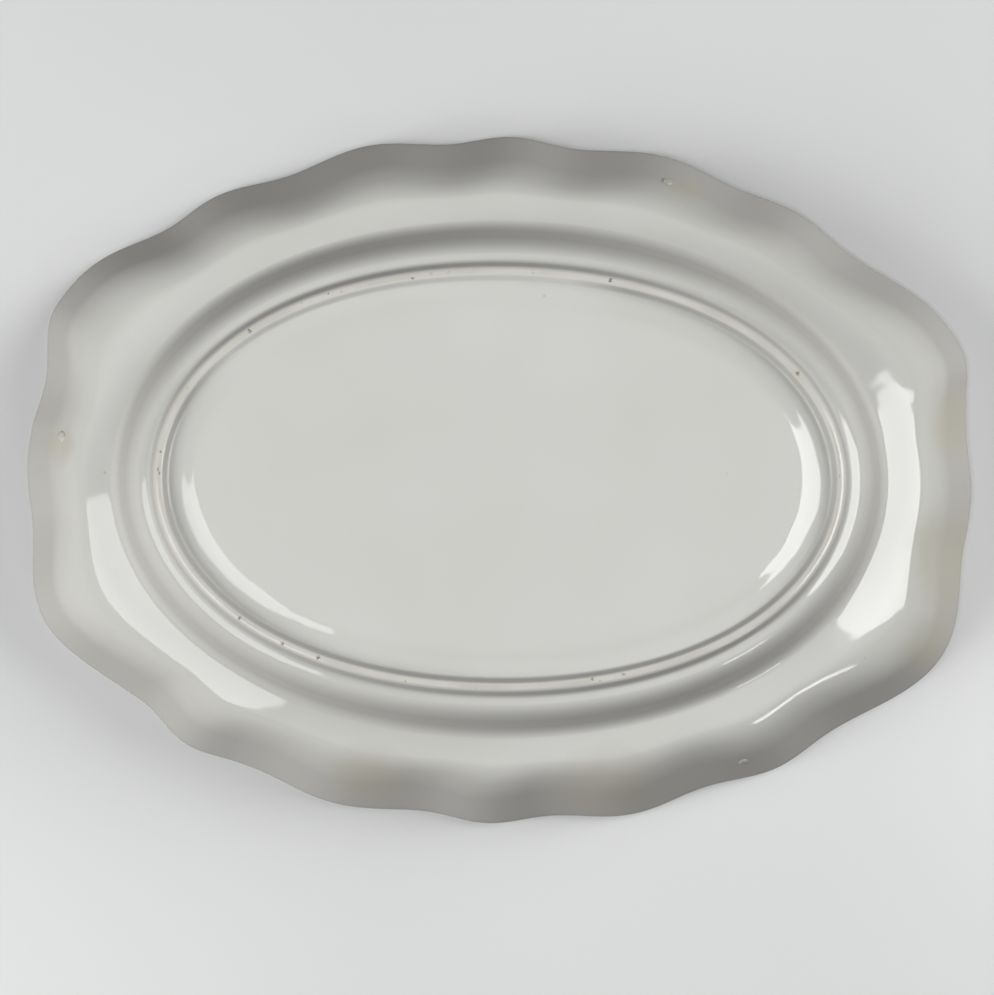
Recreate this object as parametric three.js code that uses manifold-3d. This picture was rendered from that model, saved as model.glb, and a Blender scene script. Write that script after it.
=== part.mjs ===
// Oval serving platter of glazed earthenware with a scalloped lip, lying face down: the lip's edge is on
// z = 0 and the foot ring is uppermost. Millimetres, +Z up, +X along the platter, origin under its middle.

import * as THREE from 'three';
import { mergeGeometries, mergeVertices } from 'three/addons/utils/BufferGeometryUtils.js';
import Module from 'manifold-3d';

// Overall size
const LENGTH = 370;
const WIDTH = 269;
const HEIGHT = 46;

// Scalloped edge over one quarter, from the platter's end to its side. Each turning point has its angle
// round the oval in degrees and how far the edge stands outside a plain ellipse there.
const EDGE_TURNS = [
  { angle: 0, stands: 0.9 },
  { angle: 7.5, stands: 0.6 },
  { angle: 27, stands: 11.1 },
  { angle: 45, stands: 1.1 },
  { angle: 52.5, stands: 2.7 },
  { angle: 62.5, stands: -1.5 },
  { angle: 72.3, stands: 1.5 },
  { angle: 82.3, stands: -2 },
  { angle: 90, stands: 0.6 },
];

// Stretches where the hand-finished edge stands out or in of its even shape: middle and half span in
// degrees round the whole oval, and how far
const EDGE_UNEVEN = [
  { angle: 22, span: 6, by: 1.2 },
  { angle: 65, span: 12, by: 2 },
  { angle: 123, span: 9, by: -1 },
  { angle: 144, span: 9, by: 2.1 },
  { angle: 164, span: 10, by: -3 },
  { angle: 213, span: 10, by: -1.2 },
  { angle: 230, span: 8, by: 2.5 },
  { angle: 245, span: 11, by: 2 },
];

// Lip and rim
const RIM_WALL = 4.4;
const LIP_RUN = 10.5;
const LIP_SLOPE = 51;
const BEND_RUN = 16.5;
const RIM_SLOPE = 8;

// Well. Its wall turns up out of the rim in a short bend and goes over in a long one to the foot ring's
// shoulder.
const WELL_FOOT_RUN = 5.7;
const WELL_RUN = 10.8;
const WELL_SET_IN = 2; // how far the well wall's face lies inside its back
const SHOULDER_SLOPE = 7.5;
const FLOOR_WALL = 5.8;

// Foot ring, measured on the middle of its bearing face
const FOOT_LENGTH = 251.6;
const FOOT_WIDTH = 152.6;
const FOOT_SWELL = 1.5; // how far the oval swells past a plain ellipse at its quarters
const FOOT_TURN = 1.6; // how far the foot and the well sit turned under the edge, in degrees
const FOOT_FACE = 1.9;
const FOOT_RISE = 3.8;
const FOOT_OUTER_RUN = 4.6;
const FOOT_INNER_RUN = 2;

// Base panel, which falls a little to a moat round it, inside the foot ring
const BASE_RECESS = 1.6;
const DOME_RUN = 14.5;
const DOME_DROP = 1.05;

// Glaze coat and the stubs of the three kiln pins, each placed by its angle round the oval and its distance
// in from the edge
const GLAZE = 0.4;
const PIN_DIAMETER = 4.6;
const PIN_TIP_DIAMETER = 2.4;
const PIN_PROUD = 0.5;
const PIN_GAP = 0.2;
const PIN_SIDES = 14;
const PINS = [
  { name: 'pin_scar_end', angle: 174.8, inset: 16 },
  { name: 'pin_scar_upper', angle: 70, inset: 11.6 },
  { name: 'pin_scar_lower', angle: -56.4, inset: 8.2 },
];

// Facets
const WIDEST_STEP = 6.5; // degrees round the oval
const WALL_STEPS = 3;
const CURVE_STEPS = 4;
const EDGE_STEPS = 3;

const rimTan = Math.tan(THREE.MathUtils.degToRad(RIM_SLOPE));
const lipTan = Math.tan(THREE.MathUtils.degToRad(LIP_SLOPE));
const shoulderTan = Math.tan(THREE.MathUtils.degToRad(SHOULDER_SLOPE));

// Distances from the middle along the long axis
const edgeR = LENGTH / 2;
const footR = FOOT_LENGTH / 2;
const faceInR = footR - FOOT_FACE / 2;
const faceOutR = footR + FOOT_FACE / 2;
const moatR = faceInR - FOOT_INNER_RUN;
const baseR = moatR - DOME_RUN;
const shoulderR = faceOutR + FOOT_OUTER_RUN;
const wellR = shoulderR + WELL_RUN;
const rimR = wellR + WELL_FOOT_RUN;
const lipR = edgeR - LIP_RUN;

const point = (r, z) => new THREE.Vector2(r, z);

// The point that lies one wall under a point of the back whose surface slopes so many degrees
function underWall(back, slope, wall) {
  const lean = THREE.MathUtils.degToRad(slope);
  return point(back.x - wall * Math.sin(lean), back.y - wall * Math.cos(lean));
}

// Section along the long axis, from the middle of the serving face round the lip to the middle of the base.
// Three stretches of it are glazed, and the foot ring's bearing face between the last two is bare.
function makeSection() {
  const lean = THREE.MathUtils.degToRad(LIP_SLOPE);
  const round = RIM_WALL / 2;
  const centre = point(edgeR - round, round);
  const lipLow = point(centre.x + round * Math.sin(lean), centre.y + round * Math.cos(lean));
  const lipTop = point(lipLow.x - LIP_RUN, lipLow.y + LIP_RUN * lipTan);
  const bendMid = point(lipTop.x - BEND_RUN / 2, lipTop.y + (BEND_RUN / 2) * lipTan);
  const rimOut = point(bendMid.x - BEND_RUN / 2, bendMid.y + (BEND_RUN / 2) * rimTan);
  const rimIn = point(rimR, rimOut.y + (rimOut.x - rimR) * rimTan);
  const shoulder = point(shoulderR, HEIGHT - FOOT_RISE);
  const footOut = point(faceOutR, HEIGHT);
  const footIn = point(faceInR, HEIGHT);
  const baseEdge = point(baseR, HEIGHT - BASE_RECESS);
  const moat = point(moatR, baseEdge.y - DOME_DROP);

  // The well wall is as steep as its rise from rim to shoulder needs
  const bothEnds = WELL_FOOT_RUN * rimTan + WELL_RUN * shoulderTan;
  const wellTan = (2 * (shoulder.y - rimIn.y) - bothEnds) / (WELL_FOOT_RUN + WELL_RUN);
  const wellFootMid = point(rimIn.x - WELL_FOOT_RUN / 2, rimIn.y + (WELL_FOOT_RUN / 2) * rimTan);
  const well = point(wellR, wellFootMid.y + (WELL_FOOT_RUN / 2) * wellTan);
  const wellMid = point(well.x - WELL_RUN / 2, well.y + (WELL_RUN / 2) * wellTan);

  const bendWall = RIM_WALL / Math.cos(THREE.MathUtils.degToRad((LIP_SLOPE - RIM_SLOPE) / 2));
  const faceLipLow = underWall(lipLow, LIP_SLOPE, RIM_WALL);
  const faceLipTop = underWall(lipTop, LIP_SLOPE, RIM_WALL);
  const faceBendMid = underWall(bendMid, (LIP_SLOPE + RIM_SLOPE) / 2, bendWall);
  const faceRimOut = underWall(rimOut, RIM_SLOPE, RIM_WALL);
  const faceRimInR = rimR - WELL_SET_IN;
  const faceRimIn = point(faceRimInR, faceRimOut.y + (faceRimOut.x - faceRimInR) * rimTan);
  const floorEdge = point(shoulderR - WELL_SET_IN, baseEdge.y - FLOOR_WALL);

  // The S-curve of a wall, level with the slopes at its two ends
  const sweep = (from, fromTan, to, toTan) => {
    const reach = (to.x - from.x) / 2;
    return new THREE.CubicBezierCurve(
      from, point(from.x + reach, from.y - reach * fromTan),
      point(to.x - reach, to.y + reach * toTan), to);
  };
  const edgeArc = (from, to) => new THREE.EllipseCurve(centre.x, centre.y, round, round, from, to);

  const face = [
    [new THREE.LineCurve(point(0, floorEdge.y), floorEdge), 1],
    [sweep(floorEdge, 0, faceRimIn, rimTan), CURVE_STEPS],
    [new THREE.LineCurve(faceRimIn, faceRimOut), 1],
    [new THREE.QuadraticBezierCurve(faceRimOut, faceBendMid, faceLipTop), CURVE_STEPS],
    [new THREE.LineCurve(faceLipTop, faceLipLow), 1],
    [edgeArc(-Math.PI / 2 - lean, -Math.PI / 2), 1],
  ];
  const back = [
    [edgeArc(-Math.PI / 2, Math.PI / 2 - lean), EDGE_STEPS],
    [new THREE.LineCurve(lipLow, lipTop), 1],
    [new THREE.QuadraticBezierCurve(lipTop, bendMid, rimOut), CURVE_STEPS],
    [new THREE.LineCurve(rimOut, rimIn), 1],
    [new THREE.QuadraticBezierCurve(rimIn, wellFootMid, well), EDGE_STEPS],
    [new THREE.QuadraticBezierCurve(well, wellMid, shoulder), WALL_STEPS],
    [sweep(shoulder, shoulderTan, footOut, 0), WALL_STEPS],
  ];
  const base = [
    [sweep(footIn, 0, moat, 0), WALL_STEPS],
    [sweep(moat, 0, baseEdge, 0), WALL_STEPS],
    [new THREE.LineCurve(baseEdge, point(0, baseEdge.y)), 1],
  ];
  return { face: pointsOf(face), back: pointsOf(back), base: pointsOf(base) };
}

// One run of points along curves that follow each other
function pointsOf(curves) {
  const points = [curves[0][0].getPoint(0)];
  for (const [curve, steps] of curves) points.push(...curve.getPoints(steps).slice(1));
  return points;
}

// The bed under a coat: the glazed surface moved in by the glaze. The coat runs out to nothing at an end
// that is off the axis.
function bedOf(skin) {
  return skin.map((spot, i) => {
    const isEnd = i === 0 || i === skin.length - 1;
    if (isEnd && spot.x > 0) return spot;
    const before = skin[Math.max(i - 1, 0)];
    const after = skin[Math.min(i + 1, skin.length - 1)];
    const along = after.clone().sub(before).normalize();
    return point(spot.x - along.y * GLAZE, spot.y + along.x * GLAZE);
  });
}

// Angles round the oval in radians, which meet every turning point of the edge
function anglesRound() {
  const quarter = [];
  for (let i = 0; i + 1 < EDGE_TURNS.length; i += 1) {
    const span = EDGE_TURNS[i + 1].angle - EDGE_TURNS[i].angle;
    const steps = Math.ceil(span / WIDEST_STEP);
    for (let j = 0; j < steps; j += 1) quarter.push(EDGE_TURNS[i].angle + (span * j) / steps);
  }
  const mirrored = quarter.slice(1).reverse().map((angle) => 180 - angle);
  const half = [...quarter, 90, ...mirrored];
  return [...half, ...half.map((angle) => 180 + angle)].map(THREE.MathUtils.degToRad);
}

// How far the edge stands outside the plain ellipse at an angle: half waves between the turning points
function standsAt(angle) {
  const halfTurn = THREE.MathUtils.euclideanModulo(THREE.MathUtils.radToDeg(angle), 180);
  const folded = Math.min(halfTurn, 180 - halfTurn);
  const next = Math.max(1, EDGE_TURNS.findIndex((turn) => turn.angle >= folded));
  const from = EDGE_TURNS[next - 1];
  const to = EDGE_TURNS[next];
  const share = (folded - from.angle) / (to.angle - from.angle);
  return THREE.MathUtils.lerp(from.stands, to.stands, (1 - Math.cos(Math.PI * share)) / 2);
}

// How far the edge's unevenness moves it at an angle: a wave over each uneven stretch
function unevenAt(angle) {
  const turn = THREE.MathUtils.radToDeg(angle);
  return EDGE_UNEVEN.reduce((sum, stretch) => {
    const away = Math.abs(THREE.MathUtils.euclideanModulo(turn - stretch.angle + 180, 360) - 180);
    if (away >= stretch.span) return sum;
    return sum + (stretch.by * (1 + Math.cos((Math.PI * away) / stretch.span))) / 2;
  }, 0);
}

// The scalloped edge at an angle
function edgeAt(angle) {
  const halfLength = edgeR - EDGE_TURNS[0].stands;
  const halfWidth = WIDTH / 2 - EDGE_TURNS.at(-1).stands;
  const plain = point(halfLength * Math.cos(angle), halfWidth * Math.sin(angle));
  return plain.setLength(plain.length() + standsAt(angle) + unevenAt(angle));
}

// The oval through a distance on the long axis. Past the base panel every oval keeps its distance from the
// foot ring, and inside it the ovals shrink to the middle.
function ovalAt(r, angle) {
  const narrower = (FOOT_LENGTH - FOOT_WIDTH) / 2;
  const share = Math.min(1, r / baseR);
  const swell = share * FOOT_SWELL * Math.sin(2 * angle) ** 2;
  const halfWidth = share < 1 ? share * (baseR - narrower) : r - narrower;
  const straight = point((r + swell) * Math.cos(angle), (halfWidth + swell) * Math.sin(angle));
  return straight.rotateAround(point(0, 0), THREE.MathUtils.degToRad(FOOT_TURN));
}

// A point of the section carried round to an angle. Across the rim it is drawn out to the scallops, which
// the lip holds.
function carry(spot, angle) {
  const across = THREE.MathUtils.smoothstep(spot.x, rimR, lipR);
  const drawn = edgeAt(angle).sub(ovalAt(edgeR, angle)).multiplyScalar(across);
  const placed = ovalAt(spot.x, angle).add(drawn);
  return new THREE.Vector3(placed.x, placed.y, spot.y);
}

// A profile turned on the lathe, with each of its points then carried from the round to the scalloped oval
function turned(profile, angles) {
  const geometry = new THREE.LatheGeometry(profile, angles.length);
  const position = geometry.getAttribute('position');
  for (let i = 0; i <= angles.length; i += 1) {
    profile.forEach((spot, j) => {
      const placed = carry(spot, angles[i % angles.length]);
      position.setXYZ(i * profile.length + j, placed.x, placed.y, placed.z);
    });
  }
  geometry.computeVertexNormals();
  return geometry;
}

// A coat between its skin and its bed, which meet at the ends. The bed has the body's own facets, turned
// round.
function coated(skin, bed, angles) {
  const under = turned(bed, angles);
  const corners = under.index.array;
  for (let i = 0; i < corners.length; i += 3) {
    [corners[i + 1], corners[i + 2]] = [corners[i + 2], corners[i + 1]];
  }
  return mergeGeometries([turned(skin, angles), under]);
}

// A closed geometry as a solid that can be cut, and back
function solidOf(geometry) {
  const bare = geometry.clone();
  bare.deleteAttribute('normal');
  bare.deleteAttribute('uv');
  const merged = mergeVertices(bare);
  return new wasm.Manifold(new wasm.Mesh({
    numProp: 3,
    vertProperties: merged.getAttribute('position').array,
    triVerts: new Uint32Array(merged.index.array),
  }));
}

function geometryOf(solid) {
  const mesh = solid.getMesh();
  const geometry = new THREE.BufferGeometry();
  geometry.setAttribute('position', new THREE.BufferAttribute(mesh.vertProperties, 3));
  geometry.setIndex(new THREE.BufferAttribute(mesh.triVerts, 1));
  geometry.computeVertexNormals();
  return geometry;
}

// Where a kiln pin stood on the glazed back, and the surface's normal there
function pinSeat(pin, back) {
  const r = edgeR - pin.inset;
  const angle = THREE.MathUtils.degToRad(pin.angle);
  const inner = back.findIndex((spot, i) => i > 0 && spot.x <= r && back[i - 1].x >= r);
  const share = (back[inner - 1].x - r) / (back[inner - 1].x - back[inner].x);
  const seat = carry(back[inner - 1].clone().lerp(back[inner], share), angle);
  const inward = carry(back[inner], angle).sub(seat);
  const round = new THREE.Vector3(-seat.y / WIDTH, seat.x / LENGTH, 0);
  return { seat, normal: round.cross(inward).normalize() };
}

// A round peg that stands across the surface at a seat. Its profile runs up the peg, with the surface at
// height 0.
function pegAt({ seat, normal }, profile) {
  const peg = new THREE.LatheGeometry(profile, PIN_SIDES);
  peg.applyQuaternion(new THREE.Quaternion().setFromUnitVectors(new THREE.Vector3(0, 1, 0), normal));
  peg.translate(seat.x, seat.y, seat.z);
  return solidOf(peg);
}

const wasm = await Module();
wasm.setup();

const angles = anglesRound();
const { face, back, base } = makeSection();
const faceBed = bedOf(face);
const backBed = bedOf(back);
const baseBed = bedOf(base);

const bodyGeometry = turned([...faceBed, ...backBed.slice(1), ...baseBed], angles);

const bodySolid = solidOf(bodyGeometry);
let backSolid = solidOf(coated(back, backBed, angles));
const scars = new Map();
const pinR = PIN_DIAMETER / 2;
const holeR = pinR + PIN_GAP;
const deep = -RIM_WALL / 2;
const stubProfile = [
  point(0, deep), point(pinR, deep), point(pinR, 0),
  point(PIN_TIP_DIAMETER / 2, PIN_PROUD), point(0, PIN_PROUD),
];
const holeProfile = [point(0, deep), point(holeR, deep), point(holeR, RIM_WALL), point(0, RIM_WALL)];
for (const pin of PINS) {
  const seat = pinSeat(pin, back);
  backSolid = backSolid.subtract(pegAt(seat, holeProfile));
  scars.set(pin.name, geometryOf(pegAt(seat, stubProfile).subtract(bodySolid)));
}

const clay = { color: 0xd9cbb4, roughness: 0.85, metalness: 0 };
const glaze = { color: 0xd6d3cb, roughness: 0.12, metalness: 0 };
const grit = { color: 0xcac6ba, roughness: 0.5, metalness: 0 };

const platter = new THREE.Group();
function addPiece(name, geometry, finish) {
  const piece = new THREE.Mesh(geometry, new THREE.MeshStandardMaterial(finish));
  piece.name = name;
  platter.add(piece);
}
addPiece('earthenware_body', bodyGeometry, clay);
addPiece('underside_glaze', geometryOf(backSolid), glaze);
addPiece('base_glaze', coated(base, baseBed, angles), glaze);
addPiece('face_glaze', coated(face, faceBed, angles), glaze);
for (const [name, geometry] of scars) addPiece(name, geometry, grit);

export default platter;
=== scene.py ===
import math

import bpy
import numpy as np
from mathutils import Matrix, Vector


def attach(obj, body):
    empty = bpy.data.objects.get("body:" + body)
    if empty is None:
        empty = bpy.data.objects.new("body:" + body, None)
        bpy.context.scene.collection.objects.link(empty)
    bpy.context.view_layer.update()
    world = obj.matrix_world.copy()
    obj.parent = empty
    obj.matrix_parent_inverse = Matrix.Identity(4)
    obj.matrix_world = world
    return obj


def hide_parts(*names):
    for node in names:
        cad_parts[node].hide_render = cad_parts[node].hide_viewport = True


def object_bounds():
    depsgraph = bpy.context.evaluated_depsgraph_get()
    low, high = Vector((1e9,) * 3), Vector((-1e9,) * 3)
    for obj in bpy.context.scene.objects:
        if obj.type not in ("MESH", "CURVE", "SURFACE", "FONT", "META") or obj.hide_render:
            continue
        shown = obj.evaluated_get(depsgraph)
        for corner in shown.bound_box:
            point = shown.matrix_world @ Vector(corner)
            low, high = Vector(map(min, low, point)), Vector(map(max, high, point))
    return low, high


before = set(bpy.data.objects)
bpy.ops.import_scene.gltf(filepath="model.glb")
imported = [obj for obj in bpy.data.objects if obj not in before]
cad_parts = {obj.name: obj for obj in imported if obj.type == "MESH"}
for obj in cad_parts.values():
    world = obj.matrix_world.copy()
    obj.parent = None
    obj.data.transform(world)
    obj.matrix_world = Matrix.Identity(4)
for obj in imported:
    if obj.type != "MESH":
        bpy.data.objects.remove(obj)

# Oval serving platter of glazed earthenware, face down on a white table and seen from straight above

CAD_BOX = [list(corner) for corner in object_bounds()]
MM = 0.001

# Overall size in millimetres, from the frame
LENGTH, WIDTH, HEIGHT = ((CAD_BOX[1][i] - CAD_BOX[0][i]) / MM for i in range(3))

# Scalloped edge over one quarter: angle round the oval in degrees, and how far it stands outside an ellipse
EDGE_TURNS = [
    (0, 0.9), (7.5, 0.6), (27, 11.1), (45, 1.1), (52.5, 2.7), (62.5, -1.5), (72.3, 1.5), (82.3, -2),
    (90, 0.6),
]

# Stretches where the hand-finished edge stands out or in: middle and half span in degrees, and how far
EDGE_UNEVEN = [
    (22, 6, 1.2), (65, 12, 2), (123, 9, -1), (144, 9, 2.1), (164, 10, -3), (213, 10, -1.2), (230, 8, 2.5),
    (245, 11, 2),
]

# Section in millimetres and degrees
RIM_WALL = 4.4
LIP_RUN = 10.5
LIP_SLOPE = 51
BEND_RUN = 16.5
RIM_SLOPE = 8
WELL_FOOT_RUN = 5.7
WELL_RUN = 10.8
WELL_SET_IN = 2
SHOULDER_SLOPE = 7.5
SHOULDER_RUN = 1.8
FLOOR_WALL = 5.8
FOOT_LENGTH = 251.6
FOOT_WIDTH = 152.6
FOOT_SWELL = 1.5
FOOT_TURN = 1.6
FOOT_FACE = 1.9
FOOT_RISE = 3.8
FOOT_OUTER_RUN = 4.6
FOOT_INNER_RUN = 2
FOOT_BEVEL = 0.6
BEVEL_SLOPE = 8.5
FOOT_WORN = 0.9
BASE_RECESS = 1.6
DOME_RUN = 14.5
DOME_DROP = 1.05
GLAZE = 0.4

# Kiln pin stubs: shares of their radius and height up the stub, how uneven they are, and for each stub its
# angle round the oval and distance in from the edge
PIN_RADIUS = 2.3
PIN_PROUD = 0.5
PIN_PROFILE = [(0, -1.2), (0.9, -1.2), (1, -0.3), (0.92, 0.15), (0.72, 0.6), (0.45, 0.9), (0, 0.8)]
PIN_SIDES = 28
PIN_WOBBLE = (-0.1, 0.1)
PIN_LIFT = (-0.35, 0.2)
PINS = {
    "pin_scar_end": (174.8, 16),
    "pin_scar_upper": (70, 11.6),
    "pin_scar_lower": (-56.4, 8.2),
}

# Chips on the foot ring: angle round it, distance out from the middle of its face, and radius
FOOT_CHIPS = [
    (173, 0.8, 0.6), (178, 0.9, 0.6), (136.5, 1.1, 0.8), (120, 1.2, 0.7), (105, 0.1, 0.6), (71.5, 1.2, 1.0),
    (30.5, 1.2, 0.8), (-138.5, 0.8, 0.8), (-128.5, 0.8, 0.9), (-121.5, 0.6, 1.0), (-74, 0, 0.7),
]
CHIP_RAGGED = 2.2
CHIP_COLOUR = (0.25, 0.2, 0.15)

# Faint stains in the glaze of the lip: angle round the oval, distance in from the edge, and radius
LIP_STAINS = [
    (-105, 14, 20), (-75, 12, 24), (-26, 10, 18), (-11, 9, 26), (13, 8, 18), (68, 12, 9), (176, 15, 10),
]
STAIN_RAGGED = 12
STAIN_COLOUR = (0.37, 0.345, 0.25)

# Inside the foot ring, where the painted shade on its walls is partly left off for the light that falls
# there: angles round the oval, radius, and how much is left off
LIT_WALL_ANGLES = [88, 103, 118, 132]
LIT_WALL_RADIUS = 42
LIT_WALL_SHARE = 0.75

# Table top and lamps in metres. Each lamp has its azimuth and elevation in degrees, width and height,
# radiance, and whether it glints and whether it fills.
TABLE_HALF = 12
TABLE_FADE = (0.4, 1.6)
LAMP_DISTANCE = 2.2
LAMPS = {
    "left_window": (211, 63, 1.0, 0.54, 4.4, True, True),
    "right_window": (-4, 57, 0.9, 1.05, 7.2, True, False),
    "left_fill": (200, 21, 1.6, 1.2, 10.4, False, True),
    "right_fill": (22, 21, 1.4, 1.2, 11.2, False, True),
    "far_window": (-52, 36, 0.3, 0.25, 9.0, True, True),
}
ROOM_LIGHT = 0.03
ROOM_SEEN = 0.7

# Facets
ROUND_STEPS = 480
SHARP_ANGLE = 50
SEED = 7

# Camera, straight above the table, and where the platter lies in its image
CAMERA_HEIGHT = 800
IMAGE_WIDTH, IMAGE_HEIGHT = 994, 995
PLATTER_PX = 941.5
PLATTER_MIDDLE_PX = (499.5, 480.1)
PLATTER_TURN = 2

edge_r = LENGTH / 2
foot_r = FOOT_LENGTH / 2
face_in_r = foot_r - FOOT_FACE / 2
face_out_r = foot_r + FOOT_FACE / 2
moat_r = face_in_r - FOOT_INNER_RUN
base_r = moat_r - DOME_RUN
shoulder_r = face_out_r + FOOT_OUTER_RUN
well_r = shoulder_r + WELL_RUN
rim_r = well_r + WELL_FOOT_RUN
lip_r = edge_r - LIP_RUN


def slope(degrees):
    """The fall per run of a slope."""
    return math.tan(math.radians(degrees))


def curve(points, steps):
    """Points along a straight line or a Bezier curve of two to four control points."""
    share = np.linspace(0, 1, steps + 1)[:, None]
    points = [np.array(point, float) for point in points]
    degree = len(points) - 1
    weights = (math.comb(degree, i) * share ** i * (1 - share) ** (degree - i) for i in range(degree + 1))
    return sum(weight * point for weight, point in zip(weights, points))


def sweep(start, start_tan, end, end_tan, steps):
    """The S-curve of a wall, level with the slopes at its two ends."""
    reach = (end[0] - start[0]) / 2
    return curve([start, (start[0] + reach, start[1] - reach * start_tan),
                  (end[0] - reach, end[1] + reach * end_tan), end], steps)


def joined(runs):
    """One run of points along runs that follow each other."""
    return np.concatenate([runs[0]] + [run[1:] for run in runs[1:]])


def under_wall(spot, degrees, wall):
    """The point that lies one wall under a point of the back whose surface slopes so many degrees."""
    lean = math.radians(degrees)
    return spot[0] - wall * math.sin(lean), spot[1] - wall * math.cos(lean)


def make_section():
    """The section from middle round to middle: serving face, back, the foot ring's bare crest, and base."""
    lip_tan, rim_tan, shoulder_tan = slope(LIP_SLOPE), slope(RIM_SLOPE), slope(SHOULDER_SLOPE)
    lean = math.radians(LIP_SLOPE)
    radius = RIM_WALL / 2
    centre = (edge_r - radius, radius)
    low = (centre[0] + radius * math.sin(lean), centre[1] + radius * math.cos(lean))
    lip_top = (low[0] - LIP_RUN, low[1] + LIP_RUN * lip_tan)
    bend_mid = (lip_top[0] - BEND_RUN / 2, lip_top[1] + BEND_RUN / 2 * lip_tan)
    rim_out = (bend_mid[0] - BEND_RUN / 2, bend_mid[1] + BEND_RUN / 2 * rim_tan)
    rim_in = (rim_r, rim_out[1] + (rim_out[0] - rim_r) * rim_tan)
    shoulder = (shoulder_r, HEIGHT - FOOT_RISE)
    shoulder_out = (shoulder_r + SHOULDER_RUN, shoulder[1] - SHOULDER_RUN * shoulder_tan)
    bevel_tan = slope(BEVEL_SLOPE)
    bevel = (face_out_r + FOOT_BEVEL, HEIGHT - FOOT_BEVEL * bevel_tan)
    crest_in = (face_in_r + FOOT_WORN, HEIGHT)
    base_edge = (base_r, HEIGHT - BASE_RECESS)
    moat = (moat_r, base_edge[1] - DOME_DROP)

    wall_run = WELL_RUN - SHOULDER_RUN
    both_ends = WELL_FOOT_RUN * rim_tan + wall_run * shoulder_tan
    well_tan = (2 * (shoulder_out[1] - rim_in[1]) - both_ends) / (WELL_FOOT_RUN + wall_run)
    foot_mid = (rim_in[0] - WELL_FOOT_RUN / 2, rim_in[1] + WELL_FOOT_RUN / 2 * rim_tan)
    well = (well_r, foot_mid[1] + WELL_FOOT_RUN / 2 * well_tan)
    well_mid = (well[0] - wall_run / 2, well[1] + wall_run / 2 * well_tan)

    bend_wall = RIM_WALL / math.cos(math.radians((LIP_SLOPE - RIM_SLOPE) / 2))
    face_low = under_wall(low, LIP_SLOPE, RIM_WALL)
    face_top = under_wall(lip_top, LIP_SLOPE, RIM_WALL)
    face_bend = under_wall(bend_mid, (LIP_SLOPE + RIM_SLOPE) / 2, bend_wall)
    face_rim_out = under_wall(rim_out, RIM_SLOPE, RIM_WALL)
    face_rim_r = rim_r - WELL_SET_IN
    face_rim_in = (face_rim_r, face_rim_out[1] + (face_rim_out[0] - face_rim_r) * rim_tan)
    floor_edge = (shoulder_r - WELL_SET_IN, base_edge[1] - FLOOR_WALL)

    def edge_arc(start, end, steps):
        turn = np.linspace(start, end, steps + 1)
        return np.stack([centre[0] + radius * np.cos(turn), centre[1] + radius * np.sin(turn)], 1)

    face = joined([
        curve([(0, floor_edge[1]), floor_edge], 12), sweep(floor_edge, 0, face_rim_in, rim_tan, 18),
        curve([face_rim_in, face_rim_out], 6), curve([face_rim_out, face_bend, face_top], 16),
        curve([face_top, face_low], 8), edge_arc(-math.pi / 2 - lean, -math.pi / 2, 4)])
    back = joined([
        edge_arc(-math.pi / 2, math.pi / 2 - lean, 10), curve([low, lip_top], 12),
        curve([lip_top, bend_mid, rim_out], 18), curve([rim_out, rim_in], 10),
        curve([rim_in, foot_mid, well], 12), curve([well, well_mid, shoulder_out], 18),
        curve([shoulder_out, shoulder], 3), sweep(shoulder, shoulder_tan, bevel, bevel_tan, 12)])
    base = joined([
        sweep(crest_in, 0, moat, 0, 12), sweep(moat, 0, base_edge, 0, 14),
        curve([base_edge, (0, base_edge[1])], 14)])
    crest = joined([curve([bevel, (face_out_r, HEIGHT)], 3), curve([(face_out_r, HEIGHT), crest_in], 3)])
    return face, back, crest, base


def bed_of(skin):
    """The bed under a coat: the skin moved in by the glaze, which runs out at an end off the axis."""
    along = np.gradient(skin, axis=0)
    along /= np.linalg.norm(along, axis=1, keepdims=True)
    bed = skin + GLAZE * np.stack([-along[:, 1], along[:, 0]], 1)
    for end in (0, -1):
        if skin[end, 0] > 0:
            bed[end] = skin[end]
        else:
            bed[end, 0] = 0
    return bed


def stands(angle):
    """How far the edge stands outside the ellipse: half waves between the turns, and its unevenness."""
    half_turn = np.degrees(angle) % 180
    folded = np.minimum(half_turn, 180 - half_turn)
    out = np.zeros_like(folded)
    for (start, low), (end, high) in zip(EDGE_TURNS, EDGE_TURNS[1:]):
        share = np.clip((folded - start) / (end - start), 0, 1)
        wave = low + (high - low) * (1 - np.cos(np.pi * share)) / 2
        out = np.where((folded >= start) & (folded <= end), wave, out)
    for middle, span, by in EDGE_UNEVEN:
        away = np.abs((np.degrees(angle) - middle + 180) % 360 - 180)
        out = out + np.where(away < span, by * (1 + np.cos(np.pi * away / span)) / 2, 0)
    return out


def oval(r, angle):
    """The oval through a distance on the long axis, at an even distance from the foot ring past the base."""
    narrower = (FOOT_LENGTH - FOOT_WIDTH) / 2
    share = np.minimum(1, r / base_r)
    swell = share * FOOT_SWELL * np.sin(2 * angle) ** 2
    half_width = np.where(share < 1, share * (base_r - narrower), r - narrower)
    x, y = (r + swell) * np.cos(angle), (half_width + swell) * np.sin(angle)
    turn = math.radians(FOOT_TURN)
    return x * math.cos(turn) - y * math.sin(turn), x * math.sin(turn) + y * math.cos(turn)


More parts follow.
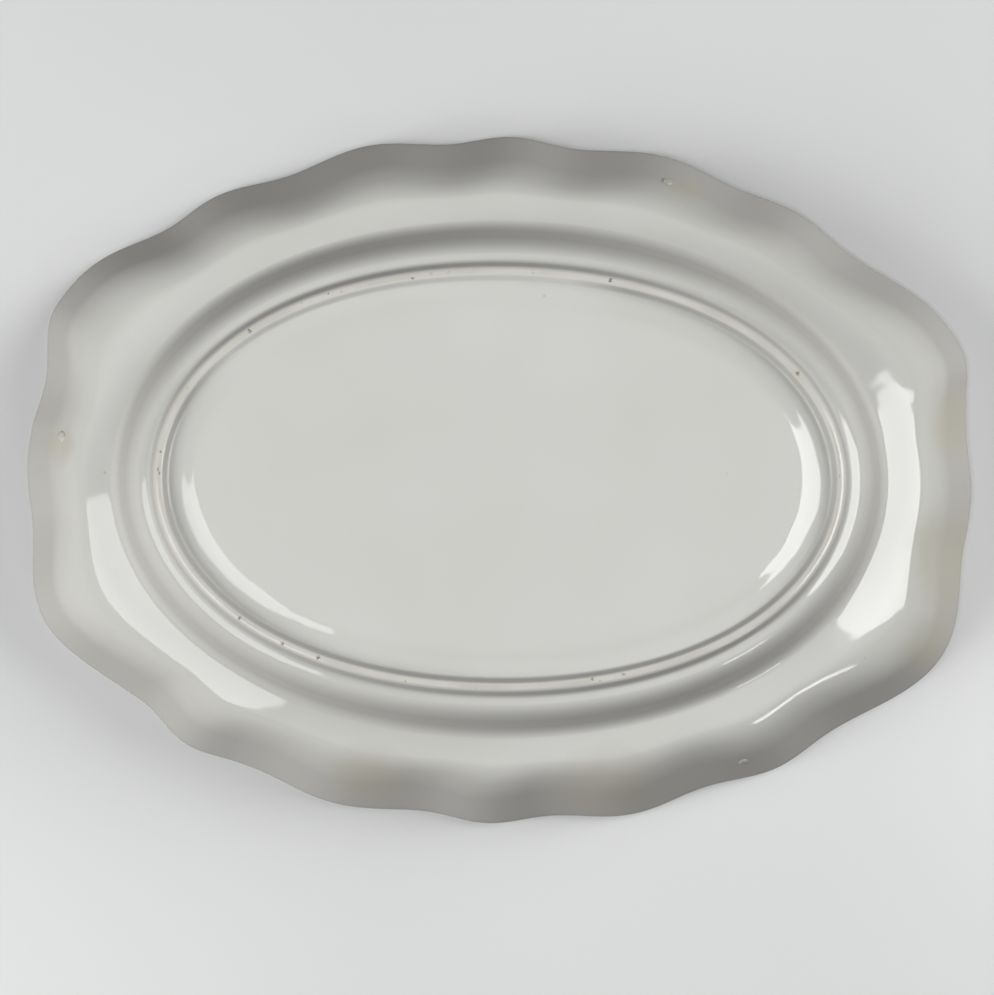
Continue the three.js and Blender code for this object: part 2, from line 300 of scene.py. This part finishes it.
def carry(spots, angle):
    """Points of the section carried round to the angles, drawn out to the scallops over the rim."""
    r, z = spots[:, 0][None, :], spots[:, 1][None, :]
    turn = angle[:, None]
    edge_x = (edge_r - EDGE_TURNS[0][1]) * np.cos(turn)
    edge_y = (WIDTH / 2 - EDGE_TURNS[-1][1]) * np.sin(turn)
    grow = 1 + stands(angle)[:, None] / np.hypot(edge_x, edge_y)
    plain_x, plain_y = oval(np.full_like(turn, edge_r), turn)
    across = np.clip((r - rim_r) / (lip_r - rim_r), 0, 1)
    drawn = across ** 2 * (3 - 2 * across)
    x, y = oval(r, turn)
    x = x + drawn * (edge_x * grow - plain_x)
    y = y + drawn * (edge_y * grow - plain_y)
    return np.stack([x, y, np.broadcast_to(z, x.shape)], -1)


def on_back(angle, r):
    """The point of the back over a distance on the long axis, carried round to an angle."""
    order = np.argsort(back[:, 0])
    height = np.interp(r, back[order, 0], back[order, 1])
    return carry(np.array([[r, height]]), np.array([angle]))[0, 0]


def add_piece(name, points, faces, material, slot_name):
    """A mesh of points in millimetres that rides on the platter and stands for the CAD node of its name."""
    mesh = bpy.data.meshes.new(name)
    mesh.from_pydata((points * MM).tolist(), [], faces)
    mesh.polygons.foreach_set("use_smooth", [True] * len(mesh.polygons))
    mesh.set_sharp_from_angle(angle=math.radians(SHARP_ANGLE))
    mesh.materials.append(material)
    piece = bpy.data.objects.new(name, mesh)
    bpy.context.scene.collection.objects.link(piece)
    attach(piece, "root")
    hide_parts(name)


def turned(profile):
    """A closed skin from a profile that starts and ends on the axis or closes on itself."""
    angle = np.arange(ROUND_STEPS) * 2 * np.pi / ROUND_STEPS
    on_axis = profile[0, 0] == 0 and profile[-1, 0] == 0
    ring = profile[1:-1] if on_axis else profile[:-1]
    count = len(ring)
    points = carry(ring, angle).reshape(-1, 3)
    index = np.arange(ROUND_STEPS * count).reshape(ROUND_STEPS, count)
    after = np.roll(index, -1, axis=0)
    if on_axis:
        cells = np.stack([index[:, :-1], after[:, :-1], after[:, 1:], index[:, 1:]], -1)
        cells = cells.reshape(-1, 4).tolist()
        start, end = len(points), len(points) + 1
        points = np.concatenate([points, [[0, 0, profile[0, 1]], [0, 0, profile[-1, 1]]]])
        cells += [[start, b, a] for a, b in zip(index[:, 0].tolist(), after[:, 0].tolist())]
        cells += [[end, a, b] for a, b in zip(index[:, -1].tolist(), after[:, -1].tolist())]
        return points, cells
    inner = np.roll(index, -1, axis=1)
    inner_after = np.roll(after, -1, axis=1)
    return points, np.stack([index, after, inner_after, inner], -1).reshape(-1, 4).tolist()


def pin_stub(angle, inset, seed):
    """A rough stub of kiln pin: a dome with an uneven skin that stands out of the back, rooted below it."""
    rough = np.random.default_rng(seed)
    r = edge_r - inset
    turn = math.radians(angle)
    seat = on_back(turn, r)
    inward = on_back(turn, r - 0.5) - seat
    across = on_back(turn + 0.002, r) - seat
    normal = np.cross(across, inward)
    normal /= np.linalg.norm(normal)
    across /= np.linalg.norm(across)
    other = np.cross(normal, across)
    points = [seat + normal * PIN_PROFILE[0][1] * PIN_PROUD]
    for share, rise in PIN_PROFILE[1:-1]:
        for side in range(PIN_SIDES):
            way = 2 * math.pi * side / PIN_SIDES
            out = share * PIN_RADIUS * (1 + rough.uniform(*PIN_WOBBLE))
            lift = rise * PIN_PROUD * (1 + rough.uniform(*PIN_LIFT))
            points.append(seat + out * (math.cos(way) * across + math.sin(way) * other) + lift * normal)
    points.append(seat + normal * PIN_PROFILE[-1][1] * PIN_PROUD)
    rings = len(PIN_PROFILE) - 2
    cells = [[0, 1 + (side + 1) % PIN_SIDES, 1 + side] for side in range(PIN_SIDES)]
    for ring in range(rings - 1):
        for side in range(PIN_SIDES):
            a = 1 + ring * PIN_SIDES + side
            b = 1 + ring * PIN_SIDES + (side + 1) % PIN_SIDES
            cells.append([a, b, b + PIN_SIDES, a + PIN_SIDES])
    last = 1 + (rings - 1) * PIN_SIDES
    cells += [[last + side, last + (side + 1) % PIN_SIDES, len(points) - 1] for side in range(PIN_SIDES)]
    return np.array(points), cells


def node(tree, kind, **values):
    """A shader node with some of its properties or inputs set."""
    made = tree.nodes.new(kind)
    for key, value in values.items():
        if hasattr(made, key):
            setattr(made, key, value)
        else:
            made.inputs[key.replace("_", " ")].default_value = value
    return made


def new_material(name, roughness, ior):
    """A material with its node tree, its shader and the places on the object."""
    material = bpy.data.materials.new(name)
    material.use_nodes = True
    tree = material.node_tree
    shader = tree.nodes["Principled BSDF"]
    shader.inputs["Roughness"].default_value = roughness
    shader.inputs["IOR"].default_value = ior
    place = tree.nodes.new("ShaderNodeTexCoord").outputs["Object"]
    return material, tree, shader, place


def ramp(tree, source, stops):
    """A colour ramp on a value: positions and linear colours."""
    made = tree.nodes.new("ShaderNodeValToRGB")
    for _ in stops[2:]:
        made.color_ramp.elements.new(0.5)
    for element, (position, colour) in zip(made.color_ramp.elements, stops):
        element.position = position
        element.color = (*colour, 1)
    tree.links.new(source, made.inputs["Fac"])
    return made.outputs["Color"]


def noise(tree, place, scale, detail=2.0):
    """Noise over the places, with its features per metre."""
    made = node(tree, "ShaderNodeTexNoise", Scale=scale, Detail=detail)
    tree.links.new(place, made.inputs["Vector"])
    return made.outputs["Fac"]


def blend(tree, factor, a, b):
    """Colour a turning into colour b by the factor."""
    made = node(tree, "ShaderNodeMix", data_type="RGBA")
    tree.links.new(factor, made.inputs["Factor"])
    for socket, value in (("A", a), ("B", b)):
        if isinstance(value, tuple):
            made.inputs[socket].default_value = (*value, 1)
        else:
            tree.links.new(value, made.inputs[socket])
    return made.outputs["Result"]


def product(tree, a, b):
    """Two values multiplied."""
    made = node(tree, "ShaderNodeMath", operation="MULTIPLY")
    tree.links.new(a, made.inputs[0])
    tree.links.new(b, made.inputs[1])
    return made.outputs["Value"]


def painted_shade_on_walls(tree):
    """Painted shade from the surface's slope: none on level stretches, all on steep walls."""
    facing = tree.nodes.new("ShaderNodeNewGeometry")
    parts = tree.nodes.new("ShaderNodeSeparateXYZ")
    level = node(tree, "ShaderNodeMath", operation="ABSOLUTE")
    tree.links.new(facing.outputs["Normal"], parts.inputs["Vector"])
    tree.links.new(parts.outputs["Z"], level.inputs[0])
    stops = [(0.6, (1, 1, 1)), (0.96, (0.28, 0.28, 0.28)), (0.998, (0, 0, 0))]
    return ramp(tree, level.outputs["Value"], stops)


def within(tree, place, spots):
    """How far inside the nearest of some spheres: middles in millimetres, each with its radius."""
    deepest = None
    for middle, radius in spots:
        away = node(tree, "ShaderNodeVectorMath", operation="DISTANCE")
        tree.links.new(place, away.inputs[0])
        away.inputs[1].default_value = middle * MM
        inside = node(tree, "ShaderNodeMapRange", From_Min=radius * MM, From_Max=radius * MM / 2)
        tree.links.new(away.outputs["Value"], inside.inputs["Value"])
        if deepest is None:
            deepest = inside.outputs["Result"]
            continue
        deeper = node(tree, "ShaderNodeMath", operation="MAXIMUM")
        tree.links.new(deepest, deeper.inputs[0])
        tree.links.new(inside.outputs["Result"], deeper.inputs[1])
        deepest = deeper.outputs["Value"]
    return deepest


def ragged(tree, place, scale, depth):
    """Places shaken by noise, so that what is drawn on them has a ragged outline."""
    shake = node(tree, "ShaderNodeTexNoise", Scale=scale, Detail=2.0)
    tree.links.new(place, shake.inputs["Vector"])
    moved = node(tree, "ShaderNodeVectorMath", operation="MULTIPLY_ADD")
    tree.links.new(shake.outputs["Color"], moved.inputs[0])
    moved.inputs[1].default_value = (depth * MM,) * 3
    shifted = node(tree, "ShaderNodeVectorMath", operation="ADD")
    tree.links.new(place, moved.inputs[2])
    tree.links.new(moved.outputs["Vector"], shifted.inputs[0])
    shifted.inputs[1].default_value = (-depth / 2 * MM,) * 3
    return shifted.outputs["Vector"]


def chipped(tree, place):
    """Where the foot ring is chipped."""
    spots = [(on_back(math.radians(angle), foot_r + out), radius) for angle, out, radius in FOOT_CHIPS]
    return within(tree, ragged(tree, place, 900, CHIP_RAGGED), spots)


def glaze_colour(tree, place, lit_walls=()):
    """Off-white and clouded, with painted shade that greys steep walls, partly left off where those walls
    catch light.
    """
    clouds = ramp(tree, noise(tree, place, 14), [(0.3, (0.635, 0.635, 0.603)), (0.7, (0.668, 0.67, 0.64))])
    # Painted shade: steep walls greyed by their slope
    wall_shade = painted_shade_on_walls(tree)
    if lit_walls:
        # Painted light: the painted wall shade is partly taken off at these spots
        lit_share = ramp(tree, within(tree, place, lit_walls), [(0, (0, 0, 0)), (1, (LIT_WALL_SHARE,) * 3)])
        wall_shade = blend(tree, lit_share, wall_shade, (0, 0, 0))
    # The grey that the painted shade blends in on steep walls
    return blend(tree, wall_shade, clouds, (0.345, 0.337, 0.317))


def glaze_material(name, lit_walls=()):
    """Glossy off-white glaze, faintly stained on the lip, with pinholes and ripples."""
    material, tree, shader, place = new_material(name, 0.06, 1.5)
    spots = [(on_back(math.radians(angle), edge_r - inset), radius) for angle, inset, radius in LIP_STAINS]
    inside = within(tree, ragged(tree, place, 60, STAIN_RAGGED), spots)
    stain = ramp(tree, inside, [(0, (0, 0, 0)), (1, (0.36, 0.36, 0.36))])
    stained = blend(tree, stain, glaze_colour(tree, place, lit_walls), STAIN_COLOUR)
    cells = node(tree, "ShaderNodeTexVoronoi", Scale=48)
    tree.links.new(place, cells.inputs["Vector"])
    pits = ramp(tree, cells.outputs["Distance"], [(0.018, (0.4, 0.4, 0.4)), (0.035, (0, 0, 0))])
    pitted = blend(tree, pits, stained, (0.36, 0.34, 0.3))
    tree.links.new(blend(tree, chipped(tree, place), pitted, CHIP_COLOUR), shader.inputs["Base Color"])
    bump = node(tree, "ShaderNodeBump", Strength=0.3, Distance=0.001)
    tree.links.new(noise(tree, place, 40), bump.inputs["Height"])
    tree.links.new(bump.outputs["Normal"], shader.inputs["Normal"])
    return material


def clay_material():
    """Bare fired clay of the foot ring, cream and worn, with brown flecks."""
    material, tree, shader, place = new_material("bare_earthenware", 0.12, 1.5)
    cream = ramp(tree, noise(tree, place, 60), [(0.35, (0.585, 0.565, 0.515)), (0.65, (0.65, 0.635, 0.59))])
    flecks = ramp(tree, noise(tree, place, 260, 3.0), [(0.66, (0, 0, 0)), (0.75, (1, 1, 1))])
    flecked = blend(tree, flecks, cream, (0.36, 0.25, 0.15))
    tree.links.new(blend(tree, chipped(tree, place), flecked, CHIP_COLOUR), shader.inputs["Base Color"])
    return material


def grit_material():
    """Rough stub of kiln pin under the glaze, a little darker in its pits."""
    material, tree, shader, place = new_material("kiln_grit", 0.3, 1.45)
    pits = ramp(tree, noise(tree, place, 700, 3.0), [(0.4, (0.5, 0.5, 0.5)), (0.6, (0, 0, 0))])
    pitted = blend(tree, pits, glaze_colour(tree, place), (0.33, 0.31, 0.26))
    tree.links.new(pitted, shader.inputs["Base Color"])
    return material


def add_floor():
    """White table top, darker to light that bounces off it, which fades into the pale room far away."""
    mesh = bpy.data.meshes.new("table_top")
    corners = [(x * TABLE_HALF, y * TABLE_HALF, 0) for x, y in ((-1, -1), (1, -1), (1, 1), (-1, 1))]
    mesh.from_pydata(corners, [], [(0, 1, 2, 3)])
    material, tree, shader, place = new_material("table_top", 0.3, 1.45)
    top = ramp(tree, noise(tree, place, 3), [(0.3, (0.67, 0.68, 0.675)), (0.7, (0.71, 0.72, 0.715))])
    path = tree.nodes.new("ShaderNodeLightPath")
    bounced = blend(tree, path.outputs["Is Diffuse Ray"], top, (0.1, 0.1, 0.1))
    mirrored = blend(tree, path.outputs["Is Glossy Ray"], bounced, (0.4, 0.4, 0.4))
    tree.links.new(mirrored, shader.inputs["Base Color"])
    away = node(tree, "ShaderNodeVectorMath", operation="LENGTH")
    tree.links.new(place, away.inputs[0])
    far = node(tree, "ShaderNodeMapRange", From_Min=TABLE_FADE[0], From_Max=TABLE_FADE[1])
    tree.links.new(away.outputs["Value"], far.inputs["Value"])
    pale = tree.nodes.new("ShaderNodeEmission")
    pale.inputs["Color"].default_value = (0.69, 0.7, 0.695, 1)
    shown = tree.nodes.new("ShaderNodeMixShader")
    fade = product(tree, far.outputs["Result"], path.outputs["Is Camera Ray"])
    tree.links.new(fade, shown.inputs["Fac"])
    tree.links.new(shader.outputs["BSDF"], shown.inputs[1])
    tree.links.new(pale.outputs["Emission"], shown.inputs[2])
    tree.links.new(shown.outputs["Shader"], tree.nodes["Material Output"].inputs["Surface"])
    mesh.materials.append(material)
    table = bpy.data.objects.new("table_top", mesh)
    bpy.context.scene.collection.objects.link(table)


def add_window(name, azimuth, elevation, wide, tall, radiance, glints, fills):
    """A soft rectangular light that faces the platter, and that may only glint or only fill."""
    turn, rise = math.radians(azimuth), math.radians(elevation)
    place = LAMP_DISTANCE * Vector(
        (math.cos(rise) * math.cos(turn), math.cos(rise) * math.sin(turn), math.sin(rise)))
    lamp = bpy.data.lights.new(name, "AREA")
    lamp.shape = "RECTANGLE"
    lamp.size, lamp.size_y = wide, tall
    lamp.energy = radiance * math.pi * wide * tall
    window = bpy.data.objects.new(name, lamp)
    window.location = place
    window.rotation_euler = (-place).to_track_quat("-Z", "Y").to_euler()
    window.visible_glossy = glints
    window.visible_diffuse = fills
    bpy.context.scene.collection.objects.link(window)


def add_camera():
    """A camera straight above the table that frames the platter as the photograph does."""
    data = bpy.data.cameras.new("camera")
    data.sensor_fit = "HORIZONTAL"
    data.sensor_width = 36
    data.lens = data.sensor_width * CAMERA_HEIGHT / (IMAGE_WIDTH * LENGTH / PLATTER_PX)
    turn = math.radians(PLATTER_TURN)
    pixel = LENGTH / PLATTER_PX
    right = (IMAGE_WIDTH / 2 - PLATTER_MIDDLE_PX[0]) * pixel
    up = (PLATTER_MIDDLE_PX[1] - IMAGE_HEIGHT / 2) * pixel
    camera = bpy.data.objects.new("camera", data)
    x = right * math.cos(turn) - up * math.sin(turn)
    y = right * math.sin(turn) + up * math.cos(turn)
    camera.location = (x * MM, y * MM, CAMERA_HEIGHT * MM)
    camera.rotation_euler = (0, 0, turn)
    bpy.context.scene.collection.objects.link(camera)
    bpy.context.scene.camera = camera


def set_world():
    """A dim room that looks pale to the camera."""
    world = bpy.data.worlds.new("room")
    world.use_nodes = True
    tree = world.node_tree
    path = tree.nodes.new("ShaderNodeLightPath")
    seen = node(tree, "ShaderNodeMix", data_type="FLOAT", A=ROOM_LIGHT, B=ROOM_SEEN)
    tree.links.new(path.outputs["Is Camera Ray"], seen.inputs["Factor"])
    tree.links.new(seen.outputs["Result"], tree.nodes["Background"].inputs["Strength"])
    tree.nodes["Background"].inputs["Color"].default_value = (1, 1, 1, 1)
    bpy.context.scene.world = world


face, back, crest, base = make_section()
face_bed, back_bed, base_bed = bed_of(face), bed_of(back), bed_of(base)
# Spots inside the foot ring where the painted wall shade is partly left off, as light falls there
lit_walls = [(on_back(math.radians(angle), moat_r), LIT_WALL_RADIUS) for angle in LIT_WALL_ANGLES]
glaze, base_coat = glaze_material("clear_glaze"), glaze_material("base_glaze", lit_walls)
clay, grit = clay_material(), grit_material()

body = joined([face_bed, back_bed, crest, base_bed])
add_piece("earthenware_body", *turned(body), clay, "bare_earthenware")
add_piece("underside_glaze", *turned(np.concatenate([back, back_bed[-2::-1]])), glaze, "clear_glaze")
add_piece("base_glaze", *turned(np.concatenate([base[::-1], base_bed[1:]])[::-1]), base_coat, "clear_glaze")
add_piece("face_glaze", *turned(np.concatenate([face, face_bed[-2::-1]])), glaze, "clear_glaze")
for offset, (name, (angle, inset)) in enumerate(PINS.items()):
    add_piece(name, *pin_stub(angle, inset, SEED + offset), grit, "kiln_grit")

add_floor()
for name, values in LAMPS.items():
    add_window(name, *values)
set_world()
add_camera()
bpy.context.scene.view_settings.view_transform = "Standard"
